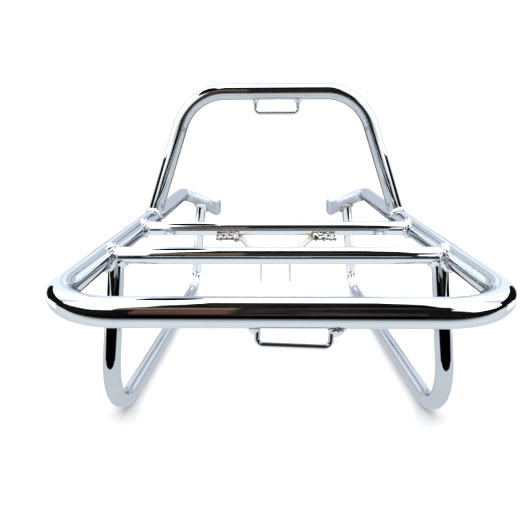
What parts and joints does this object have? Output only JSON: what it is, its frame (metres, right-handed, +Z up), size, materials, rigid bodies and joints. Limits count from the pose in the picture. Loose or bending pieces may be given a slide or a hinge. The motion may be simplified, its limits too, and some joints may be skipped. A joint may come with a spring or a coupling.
{
  "type": "motorcycle luggage rack",
  "caption": "Chromed tubular motorcycle luggage rack: flat platform of welded tube with crossbars, a raised hoop at the front, side loops below it, strap eyes and drilled mounting tabs.",
  "frame": {"origin": "on the ground under the middle of the length and of the width, where the lower bars of the side loops stand", "axes": "+Z up; +Y forward on the vehicle, from the rear bar to the hoop and the arms; +X to the right seen from the rear"},
  "size_m": [0.328, 0.6084, 0.328],
  "materials": {
    "chrome_tube": "bright chrome plate",
    "chrome_wire": "bright chrome plate",
    "plated_strap": "thin chrome plate, yellowed beside the welds",
    "weld_bead": "rippled weld under chrome plate"
  },
  "bodies": {
    "root": {"main_frame_tube": "chrome_tube", "crossbar_rear": "chrome_tube", "crossbar_front": "chrome_tube", "front_hoop": "chrome_tube", "side_loop_left": "chrome_tube", "side_loop_right": "chrome_tube", "strap_eye_front": "chrome_wire", "strap_eye_rear": "chrome_wire", "bracket_strap_left": "plated_strap", "bracket_strap_right": "plated_strap", "weld_crossbar_rear_left": "weld_bead", "weld_crossbar_rear_right": "weld_bead", "weld_crossbar_front_left": "weld_bead", "weld_crossbar_front_right": "weld_bead", "weld_hoop_left": "weld_bead", "weld_hoop_right": "weld_bead", "weld_side_loop_rear_left": "weld_bead", "weld_side_loop_rear_right": "weld_bead", "weld_side_loop_front_left": "weld_bead", "weld_side_loop_front_right": "weld_bead", "weld_bracket_left_front": "weld_bead", "weld_bracket_left_rear": "weld_bead", "weld_bracket_right_front": "weld_bead", "weld_bracket_right_rear": "weld_bead", "weld_eye_front_left": "weld_bead", "weld_eye_front_right": "weld_bead", "weld_eye_rear_left": "weld_bead", "weld_eye_rear_right": "weld_bead"}
  },
  "joints": []
}
